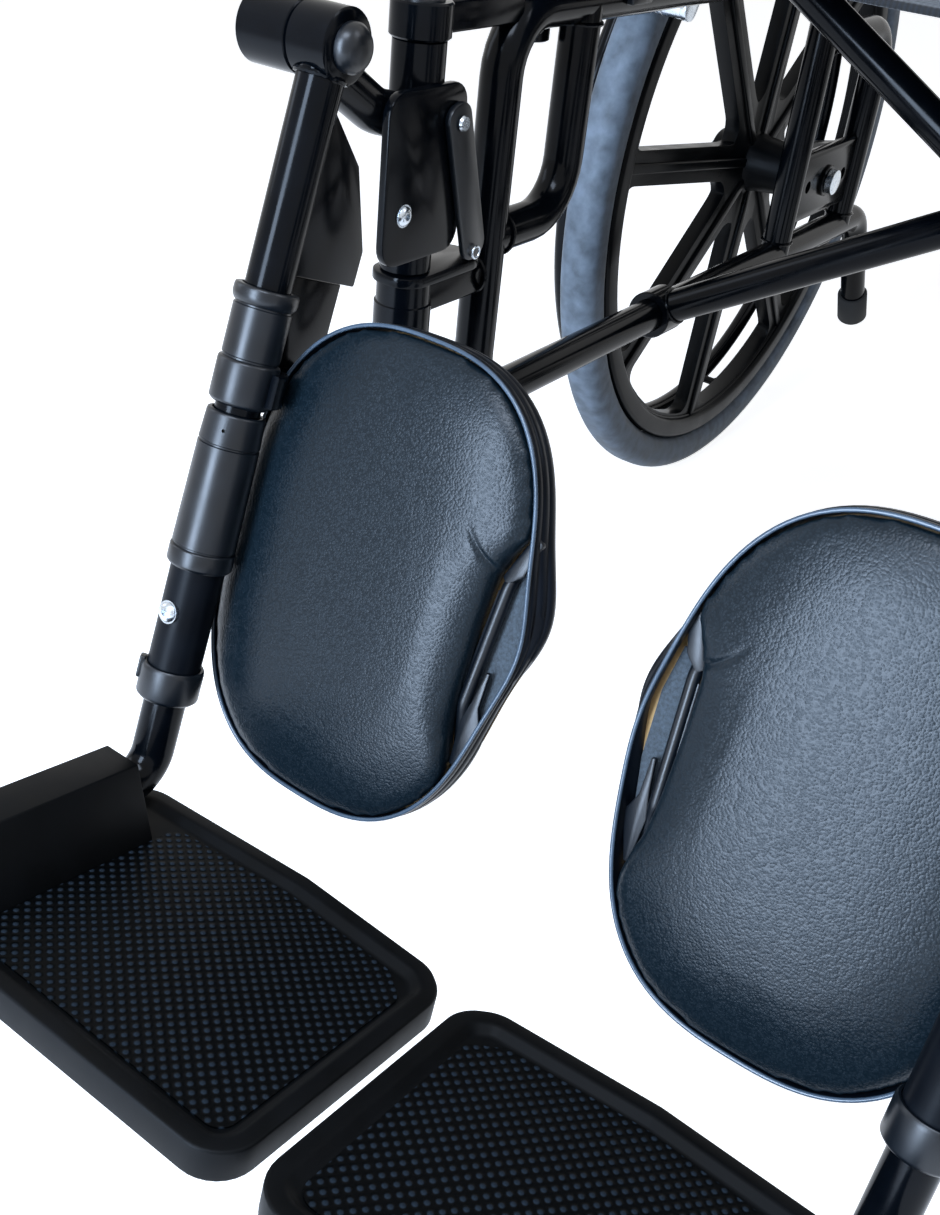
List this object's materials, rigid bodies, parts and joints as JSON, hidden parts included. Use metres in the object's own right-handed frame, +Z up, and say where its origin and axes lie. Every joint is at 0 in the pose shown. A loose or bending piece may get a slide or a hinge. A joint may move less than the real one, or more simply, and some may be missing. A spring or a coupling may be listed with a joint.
{
  "type": "wheelchair",
  "caption": "Folding steel wheelchair with swing-away elevating legrests, calf pads, flip-up footplates, spoked rear wheels with handrims, front casters and padded armrests.",
  "frame": {"origin": "on the floor under the middle of the chair's bounding box", "axes": "+Z up, +Y towards the back of the chair, so the occupant faces -Y; +X to the occupant's left"},
  "size_m": [0.6938, 1.2973, 0.9312],
  "materials": {
    "frame_enamel": "gloss black enamel on steel tube",
    "satin_tube": "satin black powder coat on steel tube",
    "zinc": "bright zinc plate",
    "black_plastic": "satin black moulded plastic",
    "wheel_plastic": "satin black moulded wheel",
    "footplate_plastic": "black glass-filled plastic with a fine tread",
    "grey_tyre": "matt grey solid tyre",
    "grip_rubber": "matt black rubber",
    "pad_leather": "slate blue grained upholstery leathercloth over foam",
    "board": "plywood board with a black plastic back",
    "sling_cloth": "black woven nylon"
  },
  "bodies": {
    "right_frame": {"right_side_frame": "frame_enamel", "right_push_grip": "grip_rubber", "right_arm_frame": "frame_enamel", "right_arm_pad": "pad_leather", "right_rear_axle": "zinc", "back_sling": "sling_cloth"},
    "right_wheel": {"right_rear_wheel": "wheel_plastic", "right_rear_tyre": "grey_tyre", "right_handrim": "frame_enamel"},
    "right_caster_swivel": {"right_caster_fork": "frame_enamel"},
    "right_caster_roll": {"right_caster_wheel": "wheel_plastic", "right_caster_tyre": "grey_tyre"},
    "right_lock_handle": {"right_brake_handle": "black_plastic"},
    "right_lock_shoe": {"right_brake_shoe": "zinc"},
    "right_hanger_mount": {"right_hanger_pin": "zinc"},
    "right_hanger": {"right_hanger": "frame_enamel"},
    "right_release": {"right_release_lever": "black_plastic"},
    "right_leg": {"right_leg_tube": "frame_enamel", "right_clamp_tube": "satin_tube", "right_lock_bolt": "zinc", "right_end_collar": "black_plastic", "right_upper_sleeve": "black_plastic", "right_lower_sleeve": "black_plastic"},
    "right_calf_rest": {"right_pad_bracket": "frame_enamel", "right_pad_board": "board", "right_calf_pad": "pad_leather"},
    "right_foot": {"right_foot_tube": "frame_enamel"},
    "right_plate": {"right_footplate": "footplate_plastic"},
    "left_frame": {"left_side_frame": "frame_enamel", "left_push_grip": "grip_rubber", "left_arm_frame": "frame_enamel", "left_arm_pad": "pad_leather", "left_rear_axle": "zinc"},
    "left_wheel": {"left_rear_wheel": "wheel_plastic", "left_rear_tyre": "grey_tyre", "left_handrim": "frame_enamel"},
    "left_caster_swivel": {"left_caster_fork": "frame_enamel"},
    "left_caster_roll": {"left_caster_wheel": "wheel_plastic", "left_caster_tyre": "grey_tyre"},
    "left_lock_handle": {"left_brake_handle": "black_plastic"},
    "left_lock_shoe": {"left_brake_shoe": "zinc"},
    "left_hanger_mount": {"left_hanger_pin": "zinc"},
    "left_hanger": {"left_hanger": "frame_enamel"},
    "left_release": {"left_release_lever": "black_plastic"},
    "left_leg": {"left_leg_tube": "frame_enamel", "left_clamp_tube": "satin_tube", "left_lock_bolt": "zinc", "left_end_collar": "black_plastic", "left_upper_sleeve": "black_plastic", "left_lower_sleeve": "black_plastic"},
    "left_calf_rest": {"left_pad_bracket": "frame_enamel", "left_pad_board": "board", "left_calf_pad": "pad_leather"},
    "left_foot": {"left_foot_tube": "frame_enamel"},
    "left_plate": {"left_footplate": "footplate_plastic"},
    "brace_a": {"brace_a": "frame_enamel", "pivot_bolt": "zinc", "seat_sling": "sling_cloth"},
    "brace_b": {"brace_b": "frame_enamel"}
  },
  "joints": [
    {"name": "fold", "type": "hinge", "parent": "right_frame", "child": "brace_a", "pos_m": [-0.23, 0.06, 0.25], "axis": [0, -1, 0], "range_deg": [0, 42], "deforming": ["seat_sling", "back_sling"]},
    {"name": "brace_scissor", "type": "hinge", "parent": "brace_a", "child": "brace_b", "pos_m": [0, 0.06, 0.38548], "axis": [0, -1, 0], "range_deg": [-84, 0]},
    {"name": "left_frame_hinge", "type": "hinge", "parent": "brace_b", "child": "left_frame", "pos_m": [0.23, 0.06, 0.25], "axis": [0, -1, 0], "range_deg": [0, 42]},
    {"name": "right_wheel_spin", "type": "hinge", "parent": "right_frame", "child": "right_wheel", "pos_m": [-0.304, 0.335, 0.305], "axis": [1, 0, 0], "continuous": true},
    {"name": "right_caster_turn", "type": "hinge", "parent": "right_frame", "child": "right_caster_swivel", "pos_m": [-0.23, -0.285, 0.232], "axis": [0, 0, 1], "continuous": true},
    {"name": "right_caster_spin", "type": "hinge", "parent": "right_caster_swivel", "child": "right_caster_roll", "pos_m": [-0.23, -0.237, 0.1], "axis": [1, 0, 0], "continuous": true},
    {"name": "right_lock_pull", "type": "hinge", "parent": "right_frame", "child": "right_lock_handle", "pos_m": [-0.269, 0.012, 0.4925], "axis": [1, 0, 0], "range_deg": [0, 55]},
    {"name": "right_shoe_swing", "type": "hinge", "parent": "right_frame", "child": "right_lock_shoe", "pos_m": [-0.2535, 0.07951, 0.50447], "axis": [1, 0, 0], "range_deg": [0, 9.4]},
    {"name": "right_hanger_fold", "type": "hinge", "parent": "right_frame", "child": "right_hanger_mount", "pos_m": [-0.23, -0.285, 0.42], "axis": [0, 0, -1], "range_deg": [0, 40]},
    {"name": "right_legrest_swing", "type": "hinge", "parent": "right_hanger_mount", "child": "right_hanger", "pos_m": [-0.23, -0.285, 0.42], "axis": [0, 0, -1], "range_deg": [-0.5, 70]},
    {"name": "right_release_press", "type": "hinge", "parent": "right_hanger", "child": "right_release", "pos_m": [-0.21, -0.272, 0.44], "axis": [-1, 0, 0], "range_deg": [0, 20], "stiffness_Nm_per_rad": 0.1, "springref_deg": -11.46},
    {"name": "right_legrest_raise", "type": "hinge", "parent": "right_hanger", "child": "right_leg", "pos_m": [-0.2, -0.38964, 0.49181], "axis": [-1, 0, 0], "range_deg": [0, 70]},
    {"name": "right_calf_rest_swing", "type": "hinge", "parent": "right_leg", "child": "right_calf_rest", "pos_m": [-0.2, -0.5155, 0.146], "axis": [0, -0.342, -0.9397], "range_deg": [0, 170]},
    {"name": "right_foot_length", "type": "slide", "parent": "right_leg", "child": "right_foot", "axis": [0, -0.342, -0.9397], "range_m": [-0.025, 0.05]},
    {"name": "right_footplate_flip", "type": "hinge", "parent": "right_foot", "child": "right_plate", "pos_m": [-0.2, -0.5155, 0.146], "axis": [0, -0.9781, 0.2079], "range_deg": [0, 90]},
    {"name": "left_wheel_spin", "type": "hinge", "parent": "left_frame", "child": "left_wheel", "pos_m": [0.304, 0.335, 0.305], "axis": [1, 0, 0], "continuous": true},
    {"name": "left_caster_turn", "type": "hinge", "parent": "left_frame", "child": "left_caster_swivel", "pos_m": [0.23, -0.285, 0.232], "axis": [0, 0, 1], "continuous": true},
    {"name": "left_caster_spin", "type": "hinge", "parent": "left_caster_swivel", "child": "left_caster_roll", "pos_m": [0.23, -0.237, 0.1], "axis": [1, 0, 0], "continuous": true},
    {"name": "left_lock_pull", "type": "hinge", "parent": "left_frame", "child": "left_lock_handle", "pos_m": [0.269, 0.012, 0.4925], "axis": [1, 0, 0], "range_deg": [0, 55]},
    {"name": "left_shoe_swing", "type": "hinge", "parent": "left_frame", "child": "left_lock_shoe", "pos_m": [0.2535, 0.07951, 0.50447], "axis": [1, 0, 0], "range_deg": [0, 9.4]},
    {"name": "left_hanger_fold", "type": "hinge", "parent": "left_frame", "child": "left_hanger_mount", "pos_m": [0.23, -0.285, 0.42], "axis": [0, 0, 1], "range_deg": [0, 40]},
    {"name": "left_legrest_swing", "type": "hinge", "parent": "left_hanger_mount", "child": "left_hanger", "pos_m": [0.23, -0.285, 0.42], "axis": [0, 0, 1], "range_deg": [-0.5, 70]},
    {"name": "left_release_press", "type": "hinge", "parent": "left_hanger", "child": "left_release", "pos_m": [0.21, -0.272, 0.44], "axis": [-1, 0, 0], "range_deg": [0, 20], "stiffness_Nm_per_rad": 0.1, "springref_deg": -11.46},
    {"name": "left_legrest_raise", "type": "hinge", "parent": "left_hanger", "child": "left_leg", "pos_m": [0.2, -0.38964, 0.49181], "axis": [-1, 0, 0], "range_deg": [0, 70]},
    {"name": "left_calf_rest_swing", "type": "hinge", "parent": "left_leg", "child": "left_calf_rest", "pos_m": [0.2, -0.5155, 0.146], "axis": [0, 0.342, 0.9397], "range_deg": [0, 170]},
    {"name": "left_foot_length", "type": "slide", "parent": "left_leg", "child": "left_foot", "axis": [0, -0.342, -0.9397], "range_m": [-0.025, 0.05]},
    {"name": "left_footplate_flip", "type": "hinge", "parent": "left_foot", "child": "left_plate", "pos_m": [0.2, -0.5155, 0.146], "axis": [0, 0.9781, -0.2079], "range_deg": [0, 90]}
  ],
  "couplings": [
    {"joint": "brace_scissor", "follows": "fold", "ratio": -2},
    {"joint": "left_frame_hinge", "follows": "fold", "ratio": 1},
    {"joint": "right_shoe_swing", "follows": "right_lock_pull", "ratio": 0.1709},
    {"joint": "right_hanger_fold", "follows": "fold", "ratio": 0.95237},
    {"joint": "left_shoe_swing", "follows": "left_lock_pull", "ratio": 0.1709},
    {"joint": "left_hanger_fold", "follows": "fold", "ratio": 0.95237}
  ]
}
